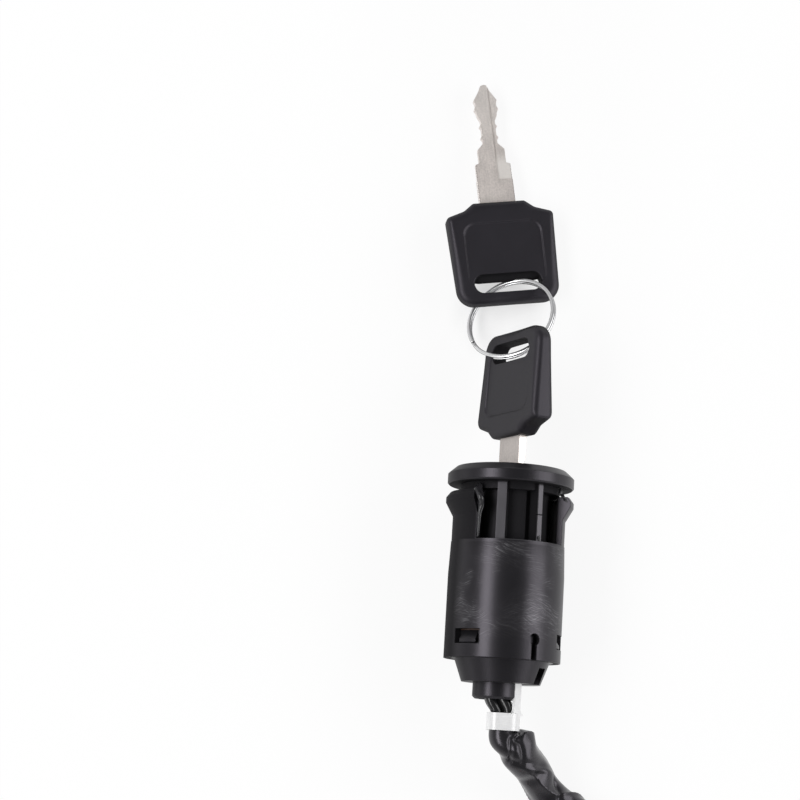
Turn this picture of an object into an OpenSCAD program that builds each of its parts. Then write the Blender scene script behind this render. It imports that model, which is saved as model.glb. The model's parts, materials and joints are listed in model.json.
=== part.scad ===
// Ignition switch with its key, split ring and spare key, lying on a table.
// Built upright with the lock's axis along Z and laid down by laid(): +Y then points from the lead to the key.
// The origin is the centre of the flange's seat, and the table is half a flange below it.

/* [Flange] */
// Diameter of the flange that stays in front of the panel
flange_d = 31.5; // [31:0.1:33]
// Height of the flange's rim above its seat
flange_rim_h = 3; // [2.4:0.1:4]
// Height of the bevel above the rim
flange_bevel_h = 1.4; // [1:0.1:2]
// Diameter of the flat front face
flange_face_d = 27.5; // [24:0.1:29]
// Rounding of the rim's lower edge
flange_edge_r = 0.4; // [0.2:0.1:0.8]

/* [Body] */
// Height of the open window zone under the flange
window_h = 14.3; // [13:0.1:18]
// Diameter of the skirt that passes the panel hole
skirt_d = 28.8; // [28:0.1:30]
// Diameter at the skirt's top, where it starts to taper
skirt_top_d = 28.2; // [27.6:0.1:28.6]
// Height of the skirt
skirt_h = 28.7; // [27:0.1:34]
// Length of the skirt's tapered start
skirt_taper_h = 8; // [4:0.5:12]
// Wall of the skirt
skirt_wall = 1.7; // [1.4:0.1:2.2]
// Step inside the skirt that the contact base stops against
skirt_step = 0.5; // [0.3:0.1:0.8]
// Diameter of the inner barrel that holds the lock
barrel_d = 19.5; // [18.6:0.1:20]
// Diameter of the shoulder under the flange
shoulder_d = 24.6; // [23.6:0.1:25]
// Height of the shoulder under the flange
shoulder_h = 1.8; // [1:0.1:2]
// Thickness of the shelf between barrel and skirt
shelf_t = 2; // [1.5:0.1:3]
// Turn of the housing about its axis
housing_turn = 15.2; // [0:0.1:30]

/* [Snap tongues] */
// Angle that each tongue spans
tongue_span = 76; // [60:1:80]
// Wall of a tongue
tongue_wall = 1.7; // [1.2:0.1:2]
// Thickest panel that fits between flange and hook
panel_gap = 2.2; // [2.1:0.1:3]
// How far a tongue lies inside the skirt's top edge
tongue_set_back = 0.1; // [0.05:0.05:0.3]
// How far the hook stands out of the tongue
hook_reach = 1.9; // [1:0.1:2]
// Height of the hook's slope back to the tongue
hook_slope_h = 3.4; // [2:0.1:5]

/* [Windows and slots] */
// Diameter over the ribs
rib_d = 26.6; // [24:0.1:27]
// Width of the wide rib
rib_wide_w = 2.3; // [1.6:0.1:3]
// Width of the narrow rib
rib_narrow_w = 1.3; // [1:0.1:2]
// Height of a snap window in the skirt
snap_window_h = 3.6; // [3:0.1:4.4]
// Angle that a snap window spans
snap_window_span = 31; // [26:1:34]
// Centre of the snap windows above the skirt's edge
snap_window_up = 5; // [4.4:0.1:6]
// Diameter of the keyhole's round end
keyhole_d = 2.9; // [2:0.1:3.6]
// Width of the keyhole's slot
keyhole_slot_w = 1.55; // [1:0.05:2]
// Centre of the keyhole above the skirt's edge
keyhole_up = 4.9; // [4:0.1:6]

/* [Lock] */
// Diameter of the lock plug
plug_d = 13; // [12.6:0.1:13.6]
// Diameter of the plug's head
plug_head_d = 17; // [16:0.1:18]
// Thickness of the plug's head
plug_head_t = 1.6; // [1.2:0.1:2]
// How far the barrel reaches below the seat
barrel_deep = 21; // [20.5:0.1:23]
// Thickness of a wafer
wafer_t = 1; // [0.8:0.05:1.1]
// Distance between wafers
wafer_pitch = 1.7; // [1.6:0.05:1.8]
// Width of a wafer across the keyway
wafer_w = 5; // [4.6:0.1:5.4]
// Depth of the first wafer below the seat
wafer_start = 3.8; // [3.5:0.1:4.2]
// Turn of the key and the plug about the axis
key_turn = 62.5; // [45:0.5:75]
// Section of the seal ring round the plug
seal_d = 1.1; // [0.9:0.1:1.3]

/* [Contacts] */
// Turn of the key from off to on
on_turn = 70; // [60:1:80]
// Gap between the contact rotor and the skirt
rotor_gap = 0.6; // [0.3:0.05:1]
// Height of the contact rotor
rotor_h = 7.9; // [7.4:0.1:8.4]
// Width of the plug's driving tang
tang_w = 6; // [5:0.1:7]
// Thickness of the plug's driving tang
tang_t = 3; // [2:0.1:4]
// Length of the plug's driving tang
tang_l = 3.4; // [2.6:0.1:3.6]
// Diameter of the detent ball
ball_d = 2.5; // [2:0.1:2.8]
// Thickness of the contact bridge
bridge_t = 0.8; // [0.6:0.05:1]
// Thickness of the contact base
base_t = 3; // [2.4:0.1:3.4]
// Radius at which the contacts stand
contact_r = 7; // [6.4:0.1:7.4]
// Diameter of a fixed contact's head
contact_head_d = 3.2; // [2.6:0.1:3.6]
// Diameter of a fixed contact's shank
contact_shank_d = 1.8; // [1.4:0.1:2]

/* [Bottom cover] */
// Diameter of the cover's cone below the skirt
cone_d = 23.5; // [22.5:0.1:24.5]
// Diameter of the cone's foot
cone_foot_d = 19.5; // [19:0.1:21]
// Height of the cone
cone_h = 5.5; // [5:0.1:6.5]
// Diameter of the collar that the lead leaves by
collar_d = 11.3; // [11:0.1:11.6]
// Height of the collar
collar_h = 4; // [3:0.1:4.2]
// Offset of the collar from the axis
collar_off = -1.2; // [-1.4:0.1:-1]
// Wall between the cover's hollow and the cone's foot
cover_floor_t = 2.6; // [2:0.1:3]

/* [Cable clip] */
// Thickness of the clip's sheet steel
clip_t = 0.6; // [0.5:0.05:0.7]
// Height of the band round the lead
clip_band_h = 4.2; // [3.6:0.1:4.2]
// Width of the strip that goes up into the cover
clip_strip_w = 3.2; // [2.6:0.1:3.6]

/* [Key] */
// Width of the bow at its shoulders
bow_w = 28.2; // [27:0.1:29]
// Width of the bow at its far end, before rounding
bow_end_w = 26.6; // [25.6:0.1:27.4]
// Length of the bow
bow_l = 27.9; // [27.7:0.1:29.4]
// Thickness of the bow at the blade
bow_t = 6.4; // [6:0.1:6.6]
// Thickness of the bow at its far end
bow_end_t = 4.4; // [4:0.1:4.5]
// Bevel round the bow's edge
bow_bevel = 1.2; // [0.8:0.1:1.6]
// Length of the slot for the ring
bow_slot_l = 17.5; // [17.2:0.1:18]
// Height of the slot for the ring
bow_slot_h = 4.8; // [4.7:0.1:5.2]
// Distance from the bow's blade side to the slot's middle
bow_slot_at = 22.5; // [22.4:0.1:22.6]
// Depth of the recessed face
bow_face_deep = 0.35; // [0.2:0.05:0.5]
// Thickness of the blade
blade_t = 2; // [1.8:0.1:2.2]
// Width of the blade next to the bow
blade_w = 9.4; // [8.9:0.1:9.6]
// Width of the blade at its throat
blade_throat_w = 7.2; // [6.9:0.1:7.3]
// Width of the blade between the cuts
blade_waist_w = 3.9; // [3.5:0.1:4.2]
// Width of the blade's tip
blade_tip_w = 6.5; // [6.1:0.1:6.6]
// Length of the blade outside the bow
blade_l = 32; // [31.4:0.1:32.4]
// Depth of the groove milled along the blade
blade_groove = 0.5; // [0.3:0.05:0.6]
// How far the bow stays from the flange's face
bow_gap = 7.7; // [7.4:0.1:8.6]

/* [Split ring] */
// Mean diameter of the ring
ring_d = 23; // [22.9:0.1:23.1]
// Radial thickness of the wire
ring_wire_w = 1; // [0.8:0.05:1]
// Thickness of one turn along the ring's axis
ring_wire_t = 0.8; // [0.6:0.05:0.8]

/* [Lead] */
// Diameter of the sleeve
sleeve_d = 9; // [8:0.1:9]
// Diameter of the bundle where the clip holds it
bundle_d = 6.4; // [6.2:0.1:7]
// Diameter of one wire
wire_d = 2.2; // [1.8:0.1:2.4]
// Width of the connector
connector_w = 13; // [12:0.1:15]
// Height of the connector
connector_h = 11; // [10.5:0.1:11.5]
// Length of the connector
connector_l = 20; // [16:0.1:24]
// Distance between the connector's terminals
connector_pitch = 4.4; // [4:0.1:4.8]

/* [Fits] */
// Gap round pieces that turn or slide
run_gap = 0.05; // [0.03:0.01:0.1]
// Gap round pieces that are only fitted together
seat_gap = 0.1; // [0.05:0.01:0.15]

/* [Hidden] */
$fn = 96;
wafer_count = 7;
wire_count = 4;

// Levels along the upright axis
flange_r = flange_d / 2;
table_z = -flange_r;
face_z = flange_rim_h + flange_bevel_h;
skirt_r = skirt_d / 2;
skirt_top_r = skirt_top_d / 2;
skirt_in_r = skirt_r - skirt_wall;
step_r = skirt_in_r - skirt_step;
rotor_r = step_r - rotor_gap;
skirt_end_z = -window_h - skirt_h;
barrel_r = barrel_d / 2;
plug_r = plug_d / 2 - run_gap;
plug_seat_z = face_z - 0.2 - plug_head_t;
clip_ring_t = 0.8;
clip_ring_r = plug_d / 2 + 1.2;
plug_groove_r = plug_r - 1.4;
plug_end_z = -barrel_deep - clip_ring_t - 1.2;
rotor_top_z = plug_end_z - seat_gap;
rotor_end_z = rotor_top_z - rotor_h;
bridge_top_z = rotor_end_z - 0.6;
bridge_end_z = bridge_top_z - bridge_t;
dimple_h = 0.4;
contact_top_z = bridge_end_z - dimple_h - run_gap;
contact_head_t = 0.65;
base_top_z = contact_top_z - contact_head_t;
base_end_z = base_top_z - base_t;
tail_z = base_end_z - 3;
snap_z = skirt_end_z + snap_window_up;
cone_end_z = skirt_end_z - cone_h;
collar_end_z = cone_end_z - collar_h;

// Directions: turn 0 faces the camera and positive turns go to its right
function facing(turn) = turn - 90;
rib_turns = [[-27, rib_wide_w], [15.8, rib_narrow_w]];
barrel_panel_turns = [-27, 3.8];
snap_turns = [for (i = [0:2]) -57.2 + 120 * i];
keyhole_turn = 13.6;
clip_turn = 58;

// Bundle and clip places
band_x = 1;
band_top_z = -55.7;
band_r = bundle_d / 2 + seat_gap;
hollow_r = cone_foot_d / 2 - 1.5;
collar_bore_r = bundle_d / 2 + 1.1;

// Key places: the bow's blade side is at y = 0 in the key's own frame, and its far end points to +Y
bow_y = face_z + bow_gap;
blade_tang_l = 12;
blade_base_l = 10;
blade_step_l = 0.4;
key_tip_z = bow_y - blade_l;
keyway_w = blade_throat_w + 0.2;
keyway_t = blade_t + 0.2;
wafer_window_w = blade_tip_w + 0.4;
wafer_r = plug_r - 0.15;
wafer_slot_t = wafer_t + 0.1;
spring_wire = 0.24;
wafer_spring_r = 0.55;
wafer_spring_l = 4;
wafer_spring_at = wafer_w / 2 + 1;
wafer_ear_l = 1;
detent_z = rotor_top_z - rotor_h / 2;
detent_reach = step_r - seat_gap;
detent_bore_r = ball_d / 2 + 0.1;
detent_spring_r0 = 5.4;
contact_spring_r = 1.3;
contact_pocket_r = contact_spring_r + 0.4;
contact_pocket_deep = 4.4;
bridge_tab = [1.6, 0.8, 2.6];
// The bridge meets three contacts when the switch is on, and the second of the four when it is off
contact_turns = [for (i = [0:2]) 120 * i - 76.5];
on_places = [for (turn = contact_turns) turn - key_turn - on_turn];
fixed_turns = [on_places[0], contact_turns[0] - key_turn, on_places[1], on_places[2]];
tail_turns = [for (i = [0:3]) 90 * i - 220];

// Ring and spare key as they lie
bar_at = (bow_slot_at + bow_slot_h / 2 + bow_l) / 2;
ring_at = [-1.7, bow_y + bar_at + 6.1, -6.8];
ring_tilt = 33.4;
ring_heading = -128.3;
ring_lap = 20;
spare_at = ring_at + [-5.1, bar_at + 5.6, -4.3];
spare_turn = 9.6;
spare_pitch = -2.1;
spare_roll = 6.5;

// The lead's route on the table, from the collar to the end of its sleeve
sleeve_route = [
    [-1, -50, 0], [-1, -51.9, 0], [0.1, -53.7, 0], [band_x, -55.3, 0], [band_x, -60.8, 0], [1.9, -62.7, -0.6],
    [4, -64.6, -2.2], [6.6, -66.8, -4.4], [9.4, -69.4, -6.9], [11.8, -72.2, -8.9], [14.4, -75, -10.4],
    [17.6, -77.4, -11.1], [21.6, -79.4, -11.2], [27, -81.2, -11.2], [33.6, -83, -11.2], [40.6, -86.4, -11.2],
    [46.4, -91.6, -11.2], [50.2, -98.4, -11.2], [51.6, -106.2, -11.2], [50.2, -114, -11.2],
    [46.2, -120.8, -11.2], [40.2, -125.8, -11.2], [33, -128.4, -11.2], [26, -129, -11.2],
    [19, -129, -11.2]];
// How many of those points lie in the narrow bundle
bundle_points = 6;
// The wires' common route from the sleeve to the connector
wire_route = [
    [19, -129, -11.2], [15, -129, -11.2], [9, -128.4, -12], [2, -127.4, -12.4], [-5, -126.6, -12],
    [-12, -126.2, -11], [-18, -126, -10.25], [-22, -126, -10.25]];
wire_spread = 1.5;

// Helpers

// Lays an upright piece on the table
module laid() { rotate([-90, 0, 0]) children(); }

// Turns a piece with the plug and the key
module with_key() { rotate([0, 0, -key_turn]) children(); }

// Sector of a revolved profile, centred on a direction
module sector(turn, span) {
    rotate([0, 0, facing(turn) - span / 2]) rotate_extrude(angle = span) children();
}

function unit(v) = v / norm(v);
function left_of(v) = [-v[1], v[0]];
function turned(v, a) = [v[0] * cos(a) - v[1] * sin(a), v[0] * sin(a) + v[1] * cos(a)];

// Corner i of an outline moved inwards by d
function inset_corner(p, i, d) =
    let (n = len(p), u = unit(p[i] - p[(i + n - 1) % n]), w = unit(p[(i + 1) % n] - p[i]),
         a = left_of(u), b = left_of(w))
    p[i] + (a + b) * d / (1 + a * b);

// Points of an arc of radius r that rounds corner i
function corner_arc(p, i, r, steps) =
    let (n = len(p), u = unit(p[i] - p[(i + n - 1) % n]), w = unit(p[(i + 1) % n] - p[i]),
         bend = atan2(u[0] * w[1] - u[1] * w[0], u * w), side = sign(bend),
         start = p[i] - u * r * tan(abs(bend) / 2), centre = start + left_of(u) * r * side)
    [for (k = [0:steps]) centre + turned(start - centre, bend * k / steps)];

// Rounded outline, inset by d; a negative radius marks an inward corner
function rounded(p, radii, d = 0, steps = 5) =
    let (q = [for (i = [0:len(p) - 1]) inset_corner(p, i, d)])
    [for (i = [0:len(p) - 1])
        each corner_arc(q, i, radii[i] < 0 ? d - radii[i] : max(radii[i] - d, 0.1), steps)];

// Closed loft through rings with equal numbers of points
module loft(rings) {
    n = len(rings[0]);
    last = len(rings) - 1;
    sides = [for (k = [0:last - 1]) for (i = [0:n - 1]) let (j = (i + 1) % n)
        each [[k * n + i, (k + 1) * n + j, k * n + j], [k * n + i, (k + 1) * n + i, (k + 1) * n + j]]];
    caps = [[for (i = [0:n - 1]) i], [for (i = [n - 1:-1:0]) last * n + i]];
    polyhedron([for (ring = rings) each ring], concat(sides, caps));
}

// Ring of points round a path's point, square to the path there; the path never runs along Z
function tangent(path, i) = unit(path[min(i + 1, len(path) - 1)] - path[max(i - 1, 0)]);
function path_ring(path, i, r, n) =
    let (t = tangent(path, i), side = unit(cross([0, 0, 1], t)), up = cross(t, side))
    [for (k = [0:n - 1]) path[i] + r * (cos(-360 * k / n) * side + sin(-360 * k / n) * up)];

// Coil spring along Z, from its foot at the origin
module coil_spring(r, length, wire, turns, steps = 10) {
    rise = length - wire;
    loft([for (i = [0:turns * steps])
        let (a = 360 * i / steps, z = wire / 2 + rise * i / (turns * steps))
        [for (k = [0:3]) let (b = -45 - 90 * k)
            [(r + wire / 2 * cos(b)) * cos(a), (r + wire / 2 * cos(b)) * sin(a), z + wire / 2 * sin(b)]]]);
}

// Square with round corners
module round_square(w, r) {
    square([w, w - 2 * r], center = true);
    square([w - 2 * r, w], center = true);
    for (x = [-1, 1], y = [-1, 1]) translate([x, y] * (w / 2 - r)) circle(r);
}

// Housing: flange, barrel, ribs, tongues and skirt moulded as one piece

module flange_body() {
    rotate_extrude() polygon([
        [0, 0], [flange_r - flange_edge_r, 0], [flange_r, flange_edge_r],
        [flange_r, flange_rim_h - flange_edge_r], [flange_r - flange_edge_r, flange_rim_h],
        [flange_face_d / 2, face_z], [0, face_z]]);
}

module skirt_body() {
    rotate_extrude() polygon([
        [0, -window_h], [skirt_top_r, -window_h], [skirt_r, -window_h - skirt_taper_h],
        [skirt_r, skirt_end_z], [skirt_in_r, skirt_end_z], [skirt_in_r, base_top_z], [step_r, base_top_z],
        [step_r, -window_h - shelf_t], [0, -window_h - shelf_t]]);
}

module tongues() {
    out_r = skirt_top_r - tongue_set_back;
    hook_r = out_r + hook_reach;
    hook_z = -panel_gap - 1.2;
    for (side = [-90, 90]) sector(side, tongue_span) polygon([
        [out_r - tongue_wall, -window_h - shelf_t / 2], [out_r, -window_h - shelf_t / 2],
        [out_r, hook_z - 1.2 - hook_slope_h], [hook_r, hook_z - 1.2], [hook_r, hook_z],
        [hook_r - 0.9, -panel_gap], [out_r - tongue_wall, -panel_gap]]);
}

module ribs() {
    for (back = [0, 180], rib = rib_turns)
        rotate([0, 0, facing(rib[0]) + back]) translate([0, -rib[1] / 2, -window_h - shelf_t / 2])
            cube([rib_d / 2, rib[1], window_h + shelf_t / 2 + flange_edge_r]);
    for (back = [0, 180]) rotate([0, 0, back])
        sector((barrel_panel_turns[0] + barrel_panel_turns[1]) / 2, barrel_panel_turns[1] - barrel_panel_turns[0])
            translate([barrel_r - 1, -window_h - shelf_t / 2]) square([1.9, window_h + shelf_t / 2 + flange_edge_r]);
}

module skirt_openings() {
    for (turn = snap_turns) sector(turn, snap_window_span)
        translate([step_r - 1, snap_z - snap_window_h / 2]) square([skirt_wall + skirt_step + 3, snap_window_h]);
    rotate([0, 0, facing(keyhole_turn)]) translate([step_r, 0, skirt_end_z]) {
        translate([0, 0, keyhole_up]) rotate([0, 90, 0]) cylinder(d = keyhole_d, h = skirt_wall + 3);
        translate([-1, -keyhole_slot_w / 2, -1]) cube([skirt_wall + 4, keyhole_slot_w, keyhole_up + 1]);
    }
}

// Bore for the plug, its head's seat, and the grooves that the wafers spring into
module lock_bore() {
    translate([0, 0, -barrel_deep - 1]) cylinder(d = plug_d, h = barrel_deep + face_z + 2);
    translate([0, 0, plug_seat_z]) cylinder(d = plug_head_d + 2 * run_gap, h = plug_head_t + 1);
    rotate([0, 0, -key_turn - housing_turn]) for (side = [0, 180]) rotate([0, 0, side])
        translate([0, -wafer_w / 2 - 0.3, -wafer_start - wafer_count * wafer_pitch])
            cube([plug_d / 2 + 1.3, wafer_w + 0.6, wafer_count * wafer_pitch + 1]);
}

// Two notches in the skirt that hold the detent ball in the off and on positions
module detent_notches() {
    for (turn = [0, on_turn]) rotate([0, 0, 90 - key_turn - housing_turn - turn])
        translate([detent_reach - ball_d / 2 + skirt_step, 0, detent_z - ball_d])
            cylinder(d = ball_d + 2 * seat_gap, h = 2 * ball_d);
}

module housing() {
    color("#232325") laid() rotate([0, 0, housing_turn]) difference() {
        union() {
            flange_body();
            translate([0, 0, -barrel_deep]) cylinder(r = barrel_r, h = barrel_deep + flange_edge_r);
            translate([0, 0, -shoulder_h]) cylinder(d = shoulder_d, h = shoulder_h + flange_edge_r);
            skirt_body();
            tongues();
            ribs();
        }
        lock_bore();
        skirt_openings();
        detent_notches();
    }
}

// Lock plug and what turns with it

module wafer_cuts() {
    for (i = [0:wafer_count - 1]) translate([0, 0, -wafer_start - i * wafer_pitch]) {
        cube([plug_d + 1, wafer_w + 0.2, wafer_slot_t], center = true);
        translate([0, wafer_spring_at, 0]) rotate([0, 90, 0])
            cylinder(r = wafer_spring_r + spring_wire / 2 + 0.08, h = wafer_spring_l + 2 * seat_gap, center = true);
        translate([wafer_spring_l / 2 - 0.1, 0, -wafer_slot_t / 2])
            cube([wafer_ear_l + 0.3, wafer_spring_at + wafer_spring_r + 0.3, wafer_slot_t]);
    }
}

module lock_plug() {
    groove_z = plug_seat_z - 1.6;
    color("#a8a49c") laid() with_key() difference() {
        union() {
            translate([0, 0, plug_end_z]) cylinder(r = plug_r, h = plug_seat_z - plug_end_z + plug_head_t / 2);
            translate([0, 0, plug_seat_z + run_gap / 2]) cylinder(d = plug_head_d, h = plug_head_t - run_gap / 2);
            translate([0, 0, plug_end_z - tang_l / 2]) cube([tang_w, tang_t, tang_l + 0.2], center = true);
        }
        translate([0, 0, groove_z]) rotate_extrude()
            translate([plug_r - seal_d, -seal_d / 2 - seat_gap]) square([seal_d + 1, seal_d + 2 * seat_gap]);
        translate([0, 0, -barrel_deep - clip_ring_t - seat_gap]) rotate_extrude()
            translate([plug_groove_r, 0]) square([3, clip_ring_t + seat_gap]);
        translate([-keyway_w / 2, -keyway_t / 2, key_tip_z - 0.4]) cube([keyway_w, keyway_t, face_z - key_tip_z + 1]);
        translate([-blade_w / 2 - 0.1, -keyway_t / 2, bow_y - blade_base_l - blade_step_l - 0.1])
            cube([blade_w + 0.2, keyway_t, blade_base_l + blade_step_l]);
        wafer_cuts();
    }
}

// Flat wafer with a window for the blade and an ear that its spring pushes on
module wafer(i) {
    color("#c8a95c") laid() with_key() translate([0, 0, -wafer_start - (i - 1) * wafer_pitch]) difference() {
        union() {
            intersection() {
                cube([plug_d, wafer_w, wafer_t], center = true);
                cylinder(r = wafer_r, h = wafer_t + 1, center = true);
            }
            translate([wafer_spring_l / 2, 0, -wafer_t / 2])
                cube([wafer_ear_l, wafer_spring_at + wafer_spring_r + 0.2, wafer_t]);
        }
        cube([wafer_window_w, keyway_t + 0.2, wafer_t + 1], center = true);
    }
}

module wafer_springs() {
    color("#b9bcc0") laid() with_key() for (i = [0:wafer_count - 1])
        translate([-wafer_spring_l / 2, wafer_spring_at, -wafer_start - i * wafer_pitch]) rotate([0, 90, 0])
            coil_spring(wafer_spring_r, wafer_spring_l, spring_wire, 4, 8);
}

module plug_seal() {
    color("#1c1c1c") laid() translate([0, 0, plug_seat_z - 1.6]) rotate_extrude()
        translate([plug_r - seal_d / 2, 0]) circle(d = seal_d, $fn = 32);
}

// Open ring that keeps the plug in the barrel
module plug_clip() {
    color("#b9bcc0") laid() with_key() translate([0, 0, -barrel_deep - clip_ring_t - seat_gap / 2])
        rotate([0, 0, 120]) rotate_extrude(angle = 300)
            translate([plug_groove_r, 0]) square([clip_ring_r - plug_groove_r, clip_ring_t]);
}

module contact_rotor() {
    color("#d8d3c4") laid() with_key() difference() {
        translate([0, 0, rotor_end_z]) cylinder(r = rotor_r, h = rotor_h);
        translate([0, 0, rotor_top_z]) cube([tang_w + 2 * seat_gap, tang_t + 2 * seat_gap, 2 * tang_l + 0.4], center = true);
        rotate([0, 0, 90]) translate([detent_spring_r0, 0, detent_z]) rotate([0, 90, 0])
            cylinder(r = detent_bore_r, h = rotor_r);
        for (turn = contact_turns) rotate([0, 0, turn]) translate([contact_r, 0, rotor_end_z - 1])
            cylinder(r = contact_pocket_r, h = contact_pocket_deep + 1);
        for (side = [0, 180]) rotate([0, 0, side])
            translate([rotor_r - 2.4, -bridge_tab[0] / 2 - seat_gap, rotor_end_z - 1])
                cube([bridge_tab[1] + 2 * seat_gap, bridge_tab[0] + 2 * seat_gap, bridge_tab[2] + 1]);
    }
}

module detent_ball() {
    color("#c4c7ca") laid() with_key() rotate([0, 0, 90]) translate([detent_reach - ball_d / 2, 0, detent_z])
        sphere(d = ball_d);
}

module detent_spring() {
    reach = detent_reach - ball_d - detent_spring_r0;
    color("#b9bcc0") laid() with_key() rotate([0, 0, 90]) translate([detent_spring_r0, 0, detent_z]) rotate([0, 90, 0])
        coil_spring(ball_d / 2 - 0.3, reach + 0.15, 0.3, 4);
}

// Sprung brass plate that joins the fixed contacts
module contact_bridge() {
    color("#c99b48") laid() with_key() {
        difference() {
            translate([0, 0, bridge_end_z]) cylinder(r = rotor_r - 1.4, h = bridge_t);
            translate([0, 0, bridge_end_z - 1]) cylinder(r = contact_r - 3, h = bridge_t + 2);
        }
        for (turn = contact_turns) rotate([0, 0, turn]) translate([contact_r, 0, bridge_end_z - dimple_h])
            cylinder(r1 = 0.8, r2 = 1.3, h = dimple_h);
        for (side = [0, 180]) rotate([0, 0, side])
            translate([rotor_r - 2.4 + seat_gap, -bridge_tab[0] / 2, bridge_top_z - bridge_t / 2])
                cube([bridge_tab[1], bridge_tab[0], bridge_tab[2] + bridge_t / 2]);
    }
}

module contact_springs() {
    color("#b9bcc0") laid() with_key() for (turn = contact_turns)
        rotate([0, 0, turn]) translate([contact_r, 0, bridge_top_z])
            coil_spring(contact_spring_r, contact_pocket_deep + rotor_end_z - bridge_top_z, 0.35, 4);
}

// Contact base, cover and clip

module contact_base() {
    color("#5b3a26") laid() difference() {
        translate([0, 0, base_end_z]) cylinder(r = skirt_in_r - run_gap, h = base_t);
        for (turn = fixed_turns) rotate([0, 0, turn]) translate([contact_r, 0, base_end_z - 1])
            cylinder(d = contact_shank_d, h = base_t + 2);
    }
}

module fixed_contacts() {
    color("#c99b48") laid() for (turn = fixed_turns) rotate([0, 0, turn]) translate([contact_r, 0, 0]) {
        translate([0, 0, base_top_z]) cylinder(d = contact_head_d, h = contact_head_t);
        translate([0, 0, tail_z]) cylinder(d = contact_shank_d, h = base_top_z - tail_z + contact_head_t / 2);
    }
}

// The strip's place in the cover's own frame
module at_strip() {
    translate([band_x, 0, 0]) rotate([0, 0, facing(clip_turn)])
        translate([band_r + clip_t / 2, 0, 0]) children();
}

module bottom_cover() {
    tab_top = snap_z + snap_window_h / 2 - 0.4;
    tab_end = snap_z - snap_window_h / 2 + 0.3;
    tab_r = skirt_r - 0.5;
    color("#1f1f21") laid() difference() {
        union() {
            translate([0, 0, skirt_end_z]) cylinder(r = skirt_in_r - seat_gap, h = base_end_z - skirt_end_z);
            translate([0, 0, cone_end_z]) cylinder(d1 = cone_foot_d, d2 = cone_d, h = cone_h);
            translate([collar_off, 0, collar_end_z]) {
                cylinder(d1 = collar_d - 1.2, d2 = collar_d, h = 0.6);
                translate([0, 0, 0.6]) cylinder(d = collar_d, h = collar_h);
            }
            for (turn = snap_turns) rotate([0, 0, housing_turn]) sector(turn, snap_window_span - 10) polygon([
                [hollow_r + 1, tab_top], [skirt_in_r - seat_gap, tab_top], [tab_r, tab_end + 0.8],
                [tab_r, tab_end], [hollow_r + 1, tab_end]]);
        }
        translate([0, 0, cone_end_z + cover_floor_t]) cylinder(r = hollow_r, h = base_end_z - cone_end_z);
        translate([collar_off, 0, collar_end_z - 1]) cylinder(r = collar_bore_r, h = collar_h + cover_floor_t + 2);
        at_strip() translate([-clip_t / 2 - seat_gap, -clip_strip_w / 2 - seat_gap, collar_end_z - 1])
            cube([skirt_r, clip_strip_w + 2 * seat_gap, collar_h + cover_floor_t + 2.4]);
    }
}

module cable_clip() {
    fillet_r = 2.4;
    color("#d9dce0") laid() {
        translate([band_x, 0, band_top_z - clip_band_h]) linear_extrude(clip_band_h) difference() {
            round_square(2 * (band_r + clip_t), band_r - 0.8);
            round_square(2 * band_r, band_r - 0.8 - clip_t);
        }
        at_strip() {
            translate([-clip_t / 2, -clip_strip_w / 2, band_top_z - clip_band_h])
                cube([clip_t, clip_strip_w, base_end_z - band_top_z + clip_band_h]);
            for (side = [0, 1]) mirror([0, side, 0])
                translate([clip_t / 2, clip_strip_w / 2, band_top_z]) rotate([0, -90, 0])
                    linear_extrude(clip_t) difference() {
                        translate([-0.4, -0.2]) square([fillet_r / 2 + 0.4, fillet_r / 2 + 0.2]);
                        translate([fillet_r / 2, fillet_r / 2]) circle(fillet_r / 2);
                    }
        }
    }
}

// Lead

// Wires from the contacts' tails to the top of the bundle: how far down each step is, and how far in
tail_steps = [[0, 0], [0.1, 0], [0.3, 0.35], [0.5, 0.75], [0.65, 0.95], [0.85, 1], [1, 1]];
module lead_tails() {
    foot = sleeve_route[0];
    color("#2a2a2a") for (k = [0:wire_count - 1]) {
        route = [for (step = tail_steps) let (in = step[1], turn = fixed_turns[k] * (1 - in) + tail_turns[k] * in,
                r = contact_r * (1 - in) + wire_spread * in)
            [foot[0] * in + r * cos(turn), tail_z * (1 - step[0]) + foot[1] * step[0], -r * sin(turn)]];
        loft([for (i = [0:len(route) - 1]) path_ring(route, i, contact_shank_d / 2, 8)]);
    }
}

module lead_sleeve() {
    color("#19191a") loft([for (i = [0:len(sleeve_route) - 1])
        path_ring(sleeve_route, i, i < bundle_points ? bundle_d / 2 : sleeve_d / 2, 12)]);
}

// One of four wires, in two rows of two, that spread from the sleeve to the connector
module lead_wire(i) {
    last = len(wire_route) - 1;
    across = (i % 2 == 0 ? 1 : -1);
    up = (i > 2 ? 1 : -1);
    route = [for (k = [0:last]) let (spread = max(0, min(1, (k - 1) / (last - 2))),
            reach = wire_spread + (connector_pitch / 2 - wire_spread) * spread)
        wire_route[k] + [0, across * reach, up * reach]];
    color(["#222222", "#7a1f1f", "#5a3a22", "#2c4a2f"][i - 1])
        loft([for (k = [0:last]) path_ring(route, k, wire_d / 2, 8)]);
}

// Connector: a nylon block with four cavities and a latch on top
module at_connector() { translate(wire_route[len(wire_route) - 1]) rotate([0, 0, 180]) children(); }
connector_lift = table_z + connector_h / 2;

module connector_housing() {
    drop = connector_lift - wire_route[len(wire_route) - 1][2];
    color("#d9d6cc") at_connector() difference() {
        union() {
            translate([0, -connector_w / 2, drop - connector_h / 2]) cube([connector_l, connector_w, connector_h - 1.2]);
            translate([3, -2.5, drop + connector_h / 2 - 1.4]) cube([connector_l - 8, 5, 1.4]);
        }
        for (y = [-1, 1], z = [-1, 1]) translate([wire_d, y * connector_pitch / 2, z * connector_pitch / 2])
            rotate([0, 90, 0]) cylinder(d = wire_d + 0.6, h = connector_l);
    }
}

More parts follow.
